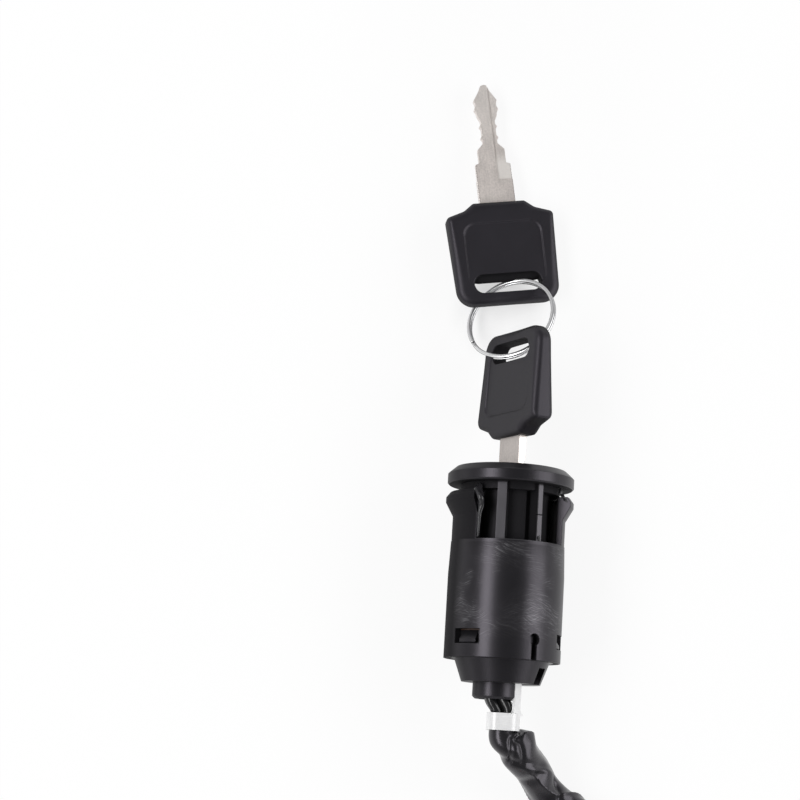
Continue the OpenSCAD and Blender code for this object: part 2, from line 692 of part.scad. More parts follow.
module connector_terminals() {
    color("#c99b48") at_connector() for (y = [-1, 1], z = [-1, 1])
        translate([wire_d, y * connector_pitch / 2, z * connector_pitch / 2]) rotate([0, 90, 0]) difference() {
            cylinder(d = wire_d + 0.6, h = connector_l - 5);
            translate([0, 0, 2]) cylinder(d = wire_d - 0.4, h = connector_l);
        }
}

// Keys

bow_corners = [
    [6.8, 0], [9.3, 2], [bow_w / 2, 3.6], [bow_end_w / 2, bow_l],
    [-bow_end_w / 2, bow_l], [-bow_w / 2, 3.6], [-9.3, 2], [-6.8, 0]];
bow_radii = [0.8, -3, 2.5, 4.5, 4.5, 2.5, -3, 0.8];

function bow_half_t(y, less) = (bow_t + (bow_end_t - bow_t) * y / bow_l) / 2 - less;

// Bow without its cuts: a bevelled plate that gets thinner towards its far end
module bow_plate(less) {
    steps = [[1, 0], [0.3, 0.3], [0, 1]];
    layers = concat([for (s = steps) [s[0], s[1], -1]], [for (k = [2:-1:0]) [steps[k][0], steps[k][1], 1]]);
    loft([for (layer = layers) [for (p = rounded(bow_corners, bow_radii, layer[0] * bow_bevel))
        [p[0], p[1], layer[2] * bow_half_t(p[1], less + layer[1] * bow_bevel)]]]);
}

// Outline of the bow's recessed face, above the slot
module bow_face() {
    top = bow_slot_at - bow_slot_h / 2 - 1.6;
    polygon(rounded([[10, 6], [9.4, top], [-9.4, top], [-10, 6]], [2.4, 1.4, 1.4, 2.4]));
}

// End of the blade that the bow is moulded round
module blade_tang() {
    translate([-blade_w / 2, 0, -blade_t / 2]) cube([blade_w, blade_tang_l, blade_t]);
}

module bow() {
    color("#1b1b1c") difference() {
        bow_plate(0);
        difference() {
            translate([0, 0, -bow_t]) linear_extrude(2 * bow_t) bow_face();
            bow_plate(bow_face_deep);
        }
        blade_tang();
        translate([0, bow_slot_at, -bow_t]) linear_extrude(2 * bow_t) {
            square([bow_slot_l - bow_slot_h, bow_slot_h], center = true);
            for (side = [-1, 1]) translate([side * (bow_slot_l - bow_slot_h) / 2, 0]) circle(d = bow_slot_h, $fn = 24);
        }
    }
}

// Half of the blade's outline, from the bow to the tip
bite_count = 2;
bite_deep = 0.45;
bite_pitch = 3.1;
function blade_edge() = let (w = blade_waist_w / 2, tip = blade_tip_w / 2,
        y0 = -blade_base_l - 5.8, y1 = y0 - bite_count * bite_pitch) concat(
    [[blade_w / 2, 0], [blade_w / 2, -blade_base_l], [blade_throat_w / 2, -blade_base_l - blade_step_l],
     [blade_throat_w / 2, -blade_base_l - 4.1], [w, y0]],
    [for (i = [0:bite_count - 1], step = [[0.28, 0], [0.5, bite_deep], [0.72, 0]])
        [w + step[1], y0 - (i + step[0]) * bite_pitch]],
    [[w, y1], [tip - 0.7, y1 - 1.1], [tip - 0.5, y1 - 2.2], [tip, y1 - 3.2], [tip - 0.4, y1 - 4.1],
     [tip - 0.4, y1 - 4.8], [tip - 0.1, y1 - 5.7], [tip / 2, -blade_l + 1.9], [0.9, -blade_l + 0.35]]);

module blade() {
    edge = blade_edge();
    groove_y = 4.3 - blade_base_l;
    color("#b7b1ab") difference() {
        union() {
            translate([0, 0, -blade_t / 2]) linear_extrude(blade_t)
                polygon(concat(edge, [[0, -blade_l]], [for (i = [len(edge) - 1:-1:0]) [-edge[i][0], edge[i][1]]]));
            blade_tang();
        }
        for (turn = [0, 180]) rotate([0, turn, 0])
            translate([-blade_w, -blade_l - 1, blade_t / 2 - blade_groove])
                cube([blade_w - 0.8, blade_l + 1 + groove_y, blade_groove + 1]);
    }
}

module at_key() { translate([0, bow_y, 0]) rotate([0, -key_turn, 0]) children(); }
module at_spare() {
    translate(spare_at) rotate([0, 0, spare_turn]) rotate([spare_pitch, 0, 0]) rotate([0, spare_roll, 0])
        rotate([0, 0, 180]) children();
}

// Split ring: two close turns of one wire, with a crossing where the turns change places
module split_ring() {
    lift = ring_wire_t / 2 + 0.03;
    steps = 40;
    first = ring_lap;
    last = 720 - ring_lap;
    count = 2 * steps;
    corner = 0.3;
    w = ring_wire_w / 2;
    t = ring_wire_t / 2;
    shape = [[w, t * corner], [w * corner, t], [-w * corner, t], [-w, t * corner],
             [-w, -t * corner], [-w * corner, -t], [w * corner, -t], [w, -t * corner]];
    color("#cfd2d5") translate(ring_at) rotate([0, 0, ring_heading]) rotate([ring_tilt, 0, 0])
        loft([for (i = [0:count]) let (a = first + (last - first) * i / count,
            z = lift * max(-1, min(1, (a - 360) / 15)))
            [for (k = [7:-1:0]) [(ring_d / 2 + shape[k][0]) * cos(a), (ring_d / 2 + shape[k][0]) * sin(a), z + shape[k][1]]]]);
}

module key_blade() { at_key() blade(); }
module key_bow() { at_key() bow(); }
module spare_blade() { at_spare() blade(); }
module spare_bow() { at_spare() bow(); }

housing();
lock_plug();
for (i = [1:wafer_count]) wafer(i);
wafer_springs();
plug_seal();
plug_clip();
contact_rotor();
detent_ball();
detent_spring();
contact_bridge();
contact_springs();
contact_base();
fixed_contacts();
bottom_cover();
cable_clip();
lead_tails();
lead_sleeve();
for (i = [1:wire_count]) lead_wire(i);
connector_housing();
connector_terminals();
key_blade();
key_bow();
split_ring();
spare_blade();
spare_bow();
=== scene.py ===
"""Dresses the ignition switch: finishes, moulded key bows, the split ring, the lead and a stage."""
import json
import math

import bpy
import numpy as np
from bpy.props import FloatProperty, FloatVectorProperty, IntProperty, PointerProperty
from bpy.types import Operator, Panel, PropertyGroup
from mathutils import Matrix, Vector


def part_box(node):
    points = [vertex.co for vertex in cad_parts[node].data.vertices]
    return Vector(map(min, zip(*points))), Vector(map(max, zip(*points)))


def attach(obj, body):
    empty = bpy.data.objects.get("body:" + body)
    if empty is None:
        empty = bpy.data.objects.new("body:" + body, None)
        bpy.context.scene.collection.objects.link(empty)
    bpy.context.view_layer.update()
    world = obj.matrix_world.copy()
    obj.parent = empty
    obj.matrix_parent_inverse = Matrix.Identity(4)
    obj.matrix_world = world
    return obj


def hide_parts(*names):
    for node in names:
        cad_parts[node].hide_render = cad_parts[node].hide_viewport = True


bl_info = {
    "name": "Ignition switch dresser",
    "version": (1, 0, 0),
    "blender": (4, 5, 0),
    "location": "3D View > Sidebar > Ignition switch",
    "description": "Finishes an ignition switch with its keys, ring and lead, on a white stage",
    "category": "Object",
}

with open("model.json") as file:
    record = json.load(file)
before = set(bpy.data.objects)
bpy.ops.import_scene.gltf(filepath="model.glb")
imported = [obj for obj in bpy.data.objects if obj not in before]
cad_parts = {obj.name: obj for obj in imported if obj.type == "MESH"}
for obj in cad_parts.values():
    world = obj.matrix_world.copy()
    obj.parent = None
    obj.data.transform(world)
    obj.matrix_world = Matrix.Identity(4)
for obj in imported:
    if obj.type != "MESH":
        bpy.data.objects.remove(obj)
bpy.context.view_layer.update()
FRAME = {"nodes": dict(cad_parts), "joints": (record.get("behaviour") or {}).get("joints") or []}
NODES = FRAME["nodes"]
JOINTS = {joint["name"]: joint for joint in FRAME["joints"]}
MM = 0.001
TABLE_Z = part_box("housing")[0][2]

# The lead's route in millimetres: the bundle through the collar and clip, then the sleeve, then the wires
BUNDLE_ROUTE = [(-1, -47, 0), (-1, -50, 0), (-1, -51.9, 0), (0.1, -53.7, 0), (1, -55.3, 0), (1, -58, 0)]
SLEEVE_ROUTE = [
    (1, -55.9, 0), (1, -58.4, 0), (1, -60.8, 0), (2.1, -62.7, -0.6), (4.4, -64.6, -2.2), (7, -66.8, -4.4),
    (9.7, -69.4, -6.9), (12, -72.2, -8.9), (14.4, -75, -10.4), (17.6, -77.4, -11.1), (21.6, -79.4, -11.2),
    (27, -81.2, -11.2), (33.6, -83, -11.2), (40.6, -86.4, -11.2), (46.4, -91.6, -11.2),
    (50.2, -98.4, -11.2), (51.6, -106.2, -11.2), (50.2, -114, -11.2), (46.2, -120.8, -11.2),
    (40.2, -125.8, -11.2), (33, -128.4, -11.2), (26, -129, -11.2), (19, -129, -11.2)]
WIRE_ROUTE = [
    (19, -129, -11.2), (15, -129, -11.2), (9, -128.4, -12), (2, -127.4, -12.4), (-5, -126.6, -12),
    (-12, -126.2, -11), (-18, -126, -10.25), (-22, -126, -10.25)]

# Kinks in the sleeve: place and width along it in millimetres, turn round it, and depth as a share
SLEEVE_KINKS = [
    (5.2, 0.8, 0.2, 0.36), (7.0, 0.8, 0.3, -0.2), (10.8, 2.6, 0.1, 0.34), (8.2, 2.0, 3.0, -0.3),
    (17.5, 1.6, 1.9, -0.14), (24.0, 2.0, 0.8, -0.14), (33.0, 2.2, 2.2, -0.15), (52.0, 2.5, 1.0, -0.15),
    (78.0, 2.5, 2.0, -0.14), (101.0, 2.5, 0.6, -0.15)]

# Creases in the sleeve: from and to in millimetres, first and last turn, width in radians, depth as a share
SLEEVE_CREASES = [
    (4.8, 10, 0.8, 2.5, 0.2, -0.13), (6.2, 11.5, 0.7, 1.7, 0.16, -0.11), (9, 17, 2.3, 1.0, 0.22, -0.1),
    (12, 21, 1.9, 0.7, 0.2, 0.09), (22, 33, 0.5, 2.1, 0.2, -0.1), (38, 50, 2.2, 0.8, 0.2, -0.1),
    (60, 74, 0.6, 2.2, 0.2, -0.1), (84, 98, 2.3, 0.9, 0.2, -0.1)]

# Torn flash: half width, then stops of degrees about the lock's axis, radius and height, in millimetres
LEFT_TONGUE_FLASH = 1.0, [
    (-38.6, 13.2, -0.9), (-37.6, 13.7, -1.8), (-35.6, 14.3, -2.8), (-33.6, 14.5, -4), (-32.6, 14.2, -5.2),
    (-33.4, 13.9, -6.8), (-34.6, 13.8, -9), (-35.6, 13.7, -14)]
RIGHT_TONGUE_FLASH = 1.2, [
    (150, 13.1, -1.5), (142, 13.1, -1.5), (130, 13.1, -1.6), (118, 13.1, -1.6), (96, 13.2, -1.6)]
HOOK_FLASH = 0.5, [
    (66, 13.0, -0.3), (67, 13.4, -1.6), (67.6, 14.4, -2.8), (68.6, 15.3, -4), (69.4, 15.2, -5.2),
    (68.8, 14.3, -6.6)]
RIB_FLASH = 0.42, [(31.2, 12.9, -12.6), (30.6, 13.4, -13.6), (31.4, 13.8, -14.6), (30.4, 14, -15.4)]

# Colours that more than one finish uses
WIRE_BLACK = (0.012, 0.012, 0.013)
VIOLET_GLOSS = {"Specular Tint": (0.95, 0.89, 1.0, 1.0)}


# Sizes and colours that a user would change

class MouldingLook(PropertyGroup):
    """Finish of the black mouldings."""

    black: FloatVectorProperty(
        name="Black", description="Colour of the black plastic", subtype="COLOR", size=3, min=0, max=1,
        default=(0.0075, 0.0074, 0.0084))
    # Also the colour of the painted highlight on the ribs
    scuff_and_highlight: FloatVectorProperty(
        name="Scuff", description="Colour of the scratches on the skirt", subtype="COLOR", size=3,
        min=0, max=1, default=(0.26, 0.255, 0.27))
    roughness: FloatProperty(
        name="Roughness", description="Roughness of the moulded surface", subtype="FACTOR", min=0, max=1,
        default=0.32)


class KeyLook(PropertyGroup):
    """Sizes of the key bows, and the keys' finish."""

    bow_width: FloatProperty(
        name="Bow width", description="Width of the bow at its shoulders", unit="LENGTH", default=28.2 * MM)
    bow_end_width: FloatProperty(
        name="End width", description="Width of the bow's far end before rounding", unit="LENGTH",
        default=26.6 * MM)
    bow_length: FloatProperty(
        name="Bow length", description="Length of the bow along the key", unit="LENGTH", default=27.9 * MM)
    thick: FloatProperty(
        name="Thickness", description="Thickness of the bow at the blade", unit="LENGTH", default=6.4 * MM)
    thin: FloatProperty(
        name="End thickness", description="Thickness of the bow's far end", unit="LENGTH", default=4.4 * MM)
    slot_length: FloatProperty(
        name="Slot length", description="Length of the slot for the ring", unit="LENGTH", default=17.5 * MM)
    slot_height: FloatProperty(
        name="Slot height", description="Height of the slot for the ring", unit="LENGTH", default=4.8 * MM)
    slot_place: FloatProperty(
        name="Slot place", description="From the blade's side to the slot's middle", unit="LENGTH",
        default=22.5 * MM)
    panel_depth: FloatProperty(
        name="Panel depth", description="Depth of the sunk face", unit="LENGTH", default=0.35 * MM)
    plastic: FloatVectorProperty(
        name="Plastic", description="Colour of the bows", subtype="COLOR", size=3, min=0, max=1,
        default=(0.011, 0.0105, 0.013))
    metal: FloatVectorProperty(
        name="Metal", description="Colour of the blades", subtype="COLOR", size=3, min=0, max=1,
        default=(0.62, 0.57, 0.54))


class RingLook(PropertyGroup):
    """Sizes of the split ring."""

    radius: FloatProperty(
        name="Radius", description="Mean radius of the ring", unit="LENGTH", default=11.5 * MM)
    wire_width: FloatProperty(
        name="Wire width", description="Radial thickness of the wire", unit="LENGTH", default=1 * MM)
    wire_height: FloatProperty(
        name="Wire height", description="Thickness of one turn", unit="LENGTH", default=0.8 * MM)
    lap: FloatProperty(
        name="Lap", description="Angle that each end stops short of a full turn", subtype="ANGLE",
        default=math.radians(20))


class LeadLook(PropertyGroup):
    """Sizes of the lead."""

    sleeve_diameter: FloatProperty(
        name="Sleeve", description="Diameter of the sleeve", unit="LENGTH", default=9 * MM)
    neck_diameter: FloatProperty(
        name="Neck", description="Diameter of the sleeve where the clip holds it", unit="LENGTH",
        default=6.4 * MM)
    wire_diameter: FloatProperty(
        name="Wire", description="Diameter of one wire", unit="LENGTH", default=2.2 * MM)
    wires: IntProperty(name="Wires", description="Number of wires in the bundle at the clip", default=4)
    spread: FloatProperty(
        name="Spread", description="Offset of a wire in the bundle", unit="LENGTH", default=1.5 * MM)
    pitch: FloatProperty(
        name="Pitch", description="Distance between the connector's ways", unit="LENGTH", default=4.4 * MM)


class StageLook(PropertyGroup):
    """Camera and light."""

    camera: FloatVectorProperty(
        name="Camera", description="Where the camera stands", subtype="TRANSLATION", unit="LENGTH", size=3,
        default=(-28.9 * MM, -71.6 * MM, 522.5 * MM))
    tilt: FloatProperty(
        name="Tilt", description="Lean of the view from straight down", subtype="ANGLE",
        default=math.radians(10))
    roll: FloatProperty(
        name="Roll", description="Roll of the view", subtype="ANGLE", default=math.radians(3.5))
    lens: FloatProperty(name="Lens", description="Focal length in millimetres", default=95)
    left_power: FloatProperty(
        name="Left lamp", description="Power of the soft box on the left", subtype="POWER", default=3.0)
    right_power: FloatProperty(
        name="Right lamp", description="Power of the soft box on the right", subtype="POWER", default=2.5)
    horizon: FloatProperty(
        name="Horizon", description="Strength of the light from all round", default=0.55)
    overhead: FloatProperty(
        name="Overhead", description="Strength of the light from straight above", default=0.18)


GROUPS = {
    "switch_moulding": MouldingLook, "switch_key": KeyLook, "switch_ring": RingLook,
    "switch_lead": LeadLook, "switch_stage": StageLook}


# Surfaces as whole arrays

def unit(vectors):
    """Vectors divided by their lengths."""
    return vectors / np.linalg.norm(vectors, axis=-1, keepdims=True)


def smoothstep(low, high, x):
    """0 below low, 1 above high, and 3t^2 - 2t^3 between them."""
    t = np.clip((x - low) / (high - low), 0, 1)
    return t * t * (3 - 2 * t)


def grid_faces(rows, columns, close_rows, close_columns):
    """Quads of a grid of points, row by row; a closed direction joins its last line to its first."""
    row = np.arange(rows if close_rows else rows - 1)
    column = np.arange(columns if close_columns else columns - 1)
    a = row[:, None] * columns + column
    b = row[:, None] * columns + (column + 1) % columns
    down = ((row + 1) % rows)[:, None] * columns
    return np.stack([a, b, down + (column + 1) % columns, down + column], -1).reshape(-1, 4)


def surface(name, *grids, close_rows=False, close_columns=True, caps=False):
    """A smooth mesh piece from grids of points in metres; caps close each grid's first and last rows."""
    verts, faces, base = [], [], 0
    for points in grids:
        rows, columns = points.shape[:2]
        faces += (grid_faces(rows, columns, close_rows, close_columns) + base).tolist()
        if caps:
            faces.append(list(range(base + columns - 1, base - 1, -1)))
            faces.append(list(range(base + (rows - 1) * columns, base + rows * columns)))
        verts.append(points.reshape(-1, 3))
        base += rows * columns
    mesh = bpy.data.meshes.new(name)
    mesh.from_pydata(np.concatenate(verts).tolist(), [], faces)
    mesh.polygons.foreach_set("use_smooth", np.ones(len(faces), dtype=bool))
    mesh.update()
    piece = bpy.data.objects.new(name, mesh)
    bpy.context.scene.collection.objects.link(piece)
    return piece


def lengths(path):
    """Length along a path at each of its points."""
    return np.concatenate([[0], np.cumsum(np.linalg.norm(np.diff(path, axis=0), axis=1))])


def around(sides):
    """Angles of equal steps once round."""
    return np.linspace(0, 2 * np.pi, sides, endpoint=False)


def spline(points, count):
    """A smooth curve through points, sampled at equal steps of its length: a cubic from each point to the
    next, whose slope at a point is half the way from the point before it to the one after."""
    p = np.asarray(points, float)
    p = np.concatenate([[2 * p[0] - p[1]], p, [2 * p[-1] - p[-2]]])
    t = np.linspace(0, 1, 24, endpoint=False)[None, :, None]
    a, b, c, d = (p[i:len(p) - 3 + i][:, None] for i in range(4))
    squared, cubed = 2 * a - 5 * b + 4 * c - d, 3 * b - a - 3 * c + d
    curve = 0.5 * (2 * b + (c - a) * t + squared * t ** 2 + cubed * t ** 3)
    curve = np.concatenate([curve.reshape(-1, 3), p[-2:-1]])
    along = lengths(curve)
    steps = np.linspace(0, along[-1], count)
    return np.stack([np.interp(steps, along, curve[:, k]) for k in range(3)], 1)


def path_axes(path):
    """Two directions square to a path at each of its points, one of them level."""
    tangent = unit(np.gradient(path, axis=0))
    level = unit(np.cross([0, 0, 1], tangent))
    return level, np.cross(tangent, level)


def tube(path, radius, sides):
    """Grid of a tube: path(u) + radius(u, v) (cos v side + sin v up)."""
    side, up = path_axes(path)
    v = around(sides)
    r = np.broadcast_to(radius, (len(path), sides))[..., None]
    return path[:, None] + r * (np.cos(v)[:, None] * side[:, None] + np.sin(v)[:, None] * up[:, None])


# Shader maths and finishes

class Socket:
    """A shader value that Python's operators work on: each of them adds one Math node."""

    def __init__(self, finish, socket):
        self.finish = finish
        self.socket = socket

    def math(self, operation, *values):
        """Adds a Math node for one operation on values."""
        return self.finish.node("ShaderNodeMath", {"operation": operation}, dict(enumerate(values)))

    def __add__(self, other):
        return self.math("ADD", self, other)

    def __sub__(self, other):
        return self.math("SUBTRACT", self, other)

    def __rsub__(self, other):
        return self.math("SUBTRACT", other, self)

    def __mul__(self, other):
        return self.math("MULTIPLY", self, other)

    def __pow__(self, other):
        return self.math("POWER", self, other)

    def __abs__(self):
        return self.math("ABSOLUTE", self)

    __radd__ = __add__
    __rmul__ = __mul__

    def most(self, other):
        """The larger of two values."""
        return self.math("MAXIMUM", self, other)

    def between(self, low, high):
        """0 below low and 1 above high, smoothly."""
        inputs = {0: self, 1: low, 2: high, 3: 0.0, 4: 1.0}
        return self.finish.node("ShaderNodeMapRange", {"interpolation_type": "SMOOTHSTEP"}, inputs)

    def past(self, place, soft):
        """0 before a place and 1 after it, over soft on either side."""
        return self.between(place - soft, place + soft)

    def band(self, low, high, soft):
        """1 from low to high and 0 outside them, over soft on either side."""
        return self.past(low, soft) * (1 - self.past(high, soft))


class Graph:
    """A node tree that expressions and nodes are added to."""

    def __init__(self, tree):
        self.tree = tree

    def node(self, kind, settings=None, inputs=None, output=0):
        """Adds a node, sets it, feeds its sockets, and gives one of its outputs."""
        node = self.tree.nodes.new(kind)
        for name, value in (settings or {}).items():
            setattr(node, name, value)
        for key, value in (inputs or {}).items():
            self.feed(node.inputs[key], value)
        return Socket(self, node.outputs[output])

    def feed(self, socket, value):
        """Links a socket to a shader value, or sets it to a plain one."""
        if isinstance(value, Socket):
            self.tree.links.new(value.socket, socket)
        else:
            socket.default_value = value

    def end(self, kind, shader):
        """Joins a shader to the tree's output."""
        self.feed(self.tree.nodes[kind].inputs["Surface"], shader)

    def seen(self):
        """1 for rays from the camera and for those that metal and glass pass on, and 0 for the rest."""
        rays = self.tree.nodes.new("ShaderNodeLightPath")
        camera, glossy, through = (
            Socket(self, rays.outputs[f"Is {kind} Ray"]) for kind in ("Camera", "Glossy", "Transmission"))
        return camera.most(glossy.most(through))


class Finish(Graph):
    """A node-based material on Object coordinates, ending in one Principled shader."""

    def __init__(self, name, color, roughness, metallic=0.0, fixed=None, frame=None):
        self.material = bpy.data.materials.new(name)
        self.material.use_nodes = True
        super().__init__(self.material.node_tree)
        self.shader = self.tree.nodes["Principled BSDF"]
        self.set("Base Color", (*color, 1.0))
        self.set("Roughness", roughness)
        self.set("Metallic", metallic)
        for socket, value in (fixed or {}).items():
            self.set(socket, value)
        self.place = self.node("ShaderNodeTexCoord", output="Object")
        if frame:
            back = frame.inverted()
            self.place = self.mapped(turn=back.to_euler(), move=back.translation)

    def set(self, name, value):
        """Feeds one of the Principled shader's sockets."""
        self.feed(self.shader.inputs[name], value)

    def mapped(self, scale=(1, 1, 1), turn=(0, 0, 0), move=(0, 0, 0)):
        """Object coordinates, stretched, turned and moved."""
        return self.node("ShaderNodeMapping", {}, {
            "Vector": self.place, "Scale": scale, "Rotation": turn, "Location": move})

    def noise(self, scale, detail=2.0, rough=0.5, vector=None, warp=0.0):
        """Cloudy values round 0.5, with scale cells to the metre."""
        return self.node("ShaderNodeTexNoise", {}, {
            "Vector": vector or self.place, "Scale": scale, "Detail": detail, "Roughness": rough,
            "Distortion": warp})

    def mix(self, share, first, second):
        """first where share is 0 and second where it is 1."""
        pick = [value if isinstance(value, Socket) else (*value, 1.0) for value in (first, second)]
        return self.node("ShaderNodeMix", {"data_type": "RGBA"}, {0: share, 6: pick[0], 7: pick[1]}, 2)

    def tones(self, share, color, low, high):
        """low times a colour where share is 0, and high times it where share is 1."""
        return self.mix(share, *[[min(1.0, gain * c) for c in color] for gain in (low, high)])

    def axis(self, letter):
        """One of the Object coordinates, in metres."""
        return self.node("ShaderNodeSeparateXYZ", {}, {0: self.place}, letter)

    def facing(self):
        """0 where the surface faces the view and 1 at its edge."""
        return self.node("ShaderNodeLayerWeight", {}, {"Blend": 0.5}, "Facing")

    def shade(self, share):
        """A dull near black where share is 1, as painted shade in hollows and on a shaded side, and for a
        grazing view of a moulding's grain.
        """
        dull = self.node("ShaderNodeBsdfPrincipled", {}, {
            "Base Color": (0.011, 0.0105, 0.012, 1.0), "Roughness": 0.8, "Specular IOR Level": 0.12})
        plain = Socket(self, self.shader.outputs[0])
        self.end("Material Output", self.node("ShaderNodeMixShader", {}, {0: share, 1: plain, 2: dull}))

    def bump(self, height, depth, strength=1.0, edge=0.0):
        """Bumps the surface by height times depth in metres, over edges that are rounded by edge."""
        inputs = {"Height": height, "Distance": depth, "Strength": strength}
        if edge:
            inputs["Normal"] = self.node("ShaderNodeBevel", {"samples": 6}, {"Radius": edge})
        self.set("Normal", self.node("ShaderNodeBump", {}, inputs))


def scratches(finish, turn, scale, seed):
    """Thin bent lines: 1 on a scratch and 0 off it."""
    warp = finish.noise(120, 1.0)
    sway = finish.node("ShaderNodeCombineXYZ", {}, dict(enumerate(warp * (k * MM) for k in (9, 4, 6))))
    straight = finish.mapped(turn=turn, move=(seed * MM, 0, seed * 2 * MM))
    bent = finish.node("ShaderNodeVectorMath", {"operation": "ADD"}, {0: straight, 1: sway})
    stretched = finish.node("ShaderNodeVectorMath", {"operation": "MULTIPLY"}, {0: bent, 1: scale})
    return finish.noise(1.0, 1.5, 0.6, stretched).between(0.52, 0.72)


def housing_painted_shade(finish, left):
    """Painted shade, 1 where shade falls: behind the ribs, under the flange, along a rib's crack, on the left
    tongue, and on the left side at a grazing view.
    """
    along, across, up = (finish.axis(letter) for letter in "YXZ")
    reach = (across * across + up * up) ** 0.5
    rib_radius, skirt_more, skirt_top, flange_seat = 12.7 * MM, 1.4 * MM, -15 * MM, 0.06 * MM
    in_skirt = 1 - along.past(skirt_top, 0.2 * MM)
    below_flange = 1 - along.past(flange_seat, 0.03 * MM)
    inside = 1 - (reach - in_skirt * skirt_more).past(rib_radius, 0.2 * MM)
    seat_face = along.past(-0.25 * MM, 0.15 * MM)
    crack = along.band(-7.85 * MM, -7.55 * MM, 0.05 * MM) * across.band(5.5 * MM, 8.1 * MM, 0.1 * MM)
    tongue = along.past(-14.5 * MM, 0.2 * MM) * (1 - across.past(-8.7 * MM, 0.3 * MM)) * below_flange
    flank = (1 - along.past(0.1 * MM, 0.1 * MM)) * left * finish.facing().between(0.2, 0.55)
    hollows = below_flange * inside.most(seat_face) * 0.92
    return hollows.most(crack).most(tongue * 0.95).most(flank * 0.97)


def rib_painted_highlight(finish):
    """Painted highlight: 1 on the outer faces of the ribs that look up, between the skirt and the flange."""
    along, across, up = (finish.axis(letter) for letter in "YXZ")
    reach = (across * across + up * up) ** 0.5
    height = along.past(-14.4 * MM, 0.2 * MM) * (1 - along.past(-0.45 * MM, 0.15 * MM))
    width = across.band(-6.75 * MM, 9.25 * MM, 0.25 * MM)
    return reach.past(13 * MM, 0.1 * MM) * height * width * up.between(0.0, 1 * MM)


def skirt_scuffs(finish):
    """Scratches that run two ways and the haze round them, on the skirt, with fewer along its middle."""
    along, across = finish.axis("Y"), finish.axis("X")
    clear = across.band(-2.5 * MM, 4.5 * MM, 1.5 * MM) * (1 - along.past(-17.5 * MM, 1.5 * MM))
    skirt = along.past(-37 * MM, 3 * MM) * (1 - along.past(-15 * MM, 0.5 * MM)) * (1 - clear * 0.85)
    marks = haze = 0
    for size, most, move, turn, stretch, seed in (
            (75, 0.68, (0.31, 0.12, 0.07), 0.3, (320, 7000, 320), 3),
            (90, 0.66, (0.73, 0.42, 0.57), -0.35, (300, 6400, 300), 11)):
        patch = finish.noise(size, 2.0, 0.5, finish.mapped(move=move)).between(0.5, most)
        marks = marks + scratches(finish, (0, 0, turn), stretch, seed) * patch
        haze = haze + patch
    return marks * skirt, haze * skirt


def black_moulding(name, look, scuffs_and_painted_light=False):
    """Moulded black plastic: fine grain, faint flow marks, and painted shade on its left side at a grazing
    view; on the housing, also scratches where it has been handled, painted shade in its hollows and a painted
    highlight on its ribs.
    """
    finish = Finish(name, look.black, look.roughness, fixed=VIOLET_GLOSS)
    # Painted shade: at a grazing view the left side is mixed to a dull near black more than the right
    left = 1 - finish.axis("X").past(0.0, 8 * MM)
    dull = finish.facing().between(0.16, 0.5) * (left * 0.45 + 0.2)
    flow = finish.noise(70, 3.0)
    grain = finish.noise(2600, 2.0, 0.6)
    color = finish.tones(flow, look.black, 0.8, 1.25)
    rough = flow * 0.12 + (look.roughness - 0.06)
    height = grain * 0.7 + flow * 0.3
    if scuffs_and_painted_light:
        marks, haze = skirt_scuffs(finish)
        color = finish.mix(marks * 0.6 + haze * 0.06, color, look.scuff_and_highlight)
        # Painted highlight: the ribs' upward faces take the scuff colour, uneven with the flow marks
        color = finish.mix(rib_painted_highlight(finish) * (flow * 0.3 + 0.07), color, look.scuff_and_highlight)
        rough = rough + marks * 0.15
        height = height - marks * 0.6
        # Painted shade in the housing's hollows, along a rib's crack, on the left tongue and on the left side
        dull = dull.most(housing_painted_shade(finish, left))
    finish.set("Base Color", color)
    finish.set("Roughness", rough)
    finish.bump(height, 0.02 * MM, 0.6, 0.22 * MM)
    finish.shade(dull)
    return finish.material


def plain_plastic(name, color, roughness, grain=1500, depth=0.015):
    """Moulded or drawn plastic with a soft change of tone and a fine skin, whose depth is in millimetres."""
    finish = Finish(name, color, roughness)
    tone = finish.noise(90, 3.0)
    finish.set("Base Color", finish.tones(tone, color, 0.82, 1.15))
    finish.set("Roughness", tone * 0.14 + (roughness - 0.07))
    finish.bump(finish.noise(grain, 2.0), depth * MM, 0.5, 0.15 * MM)
    return finish.material


def drawn_metal(name, color, roughness, stretch=(400, 60, 400), speckle=0.0, edge=0.12, metallic=1.0):
    """Metal with fine lines along its stretch, patches of tone, an etched speckle, and edges rounded by edge
    millimetres."""
    finish = Finish(name, color, roughness, metallic)
    lines = finish.noise(1.0, 3.0, 0.6, finish.mapped(scale=[8 * s for s in stretch]))
    cloud = finish.noise(140, 3.0)
    spots = finish.noise(2200, 2.0, 0.7)
    tone = lines * 0.35 + cloud * 0.4 + spots * (0.25 + speckle)
    finish.set("Base Color", finish.tones(tone.between(0.25, 0.85), color, 0.78, 1.16))
    finish.set("Roughness", cloud * 0.14 + spots * 0.1 + (roughness - 0.12))
    finish.bump(lines * 0.5 + spots * (0.3 + speckle), 0.012 * MM, 0.5, edge * MM)
    return finish.material


def paint(material, *names):
    """Gives CAD nodes or pieces one material."""
    for name in names:
        piece = NODES.get(name) or bpy.data.objects[name]
        piece.data.materials.clear()
        piece.data.materials.append(material)


def seat(piece, body, slot, material, *nodes):
    """Puts a finished piece on its body, in place of the CAD nodes that it stands for; slot is not used."""
    paint(material, piece.name)
    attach(piece, body)
    if nodes:
        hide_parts(*nodes)


def chosen(group):
    """The sizes and colours of one group, as the user has set them."""
    return getattr(bpy.context.scene, group)


# Stage

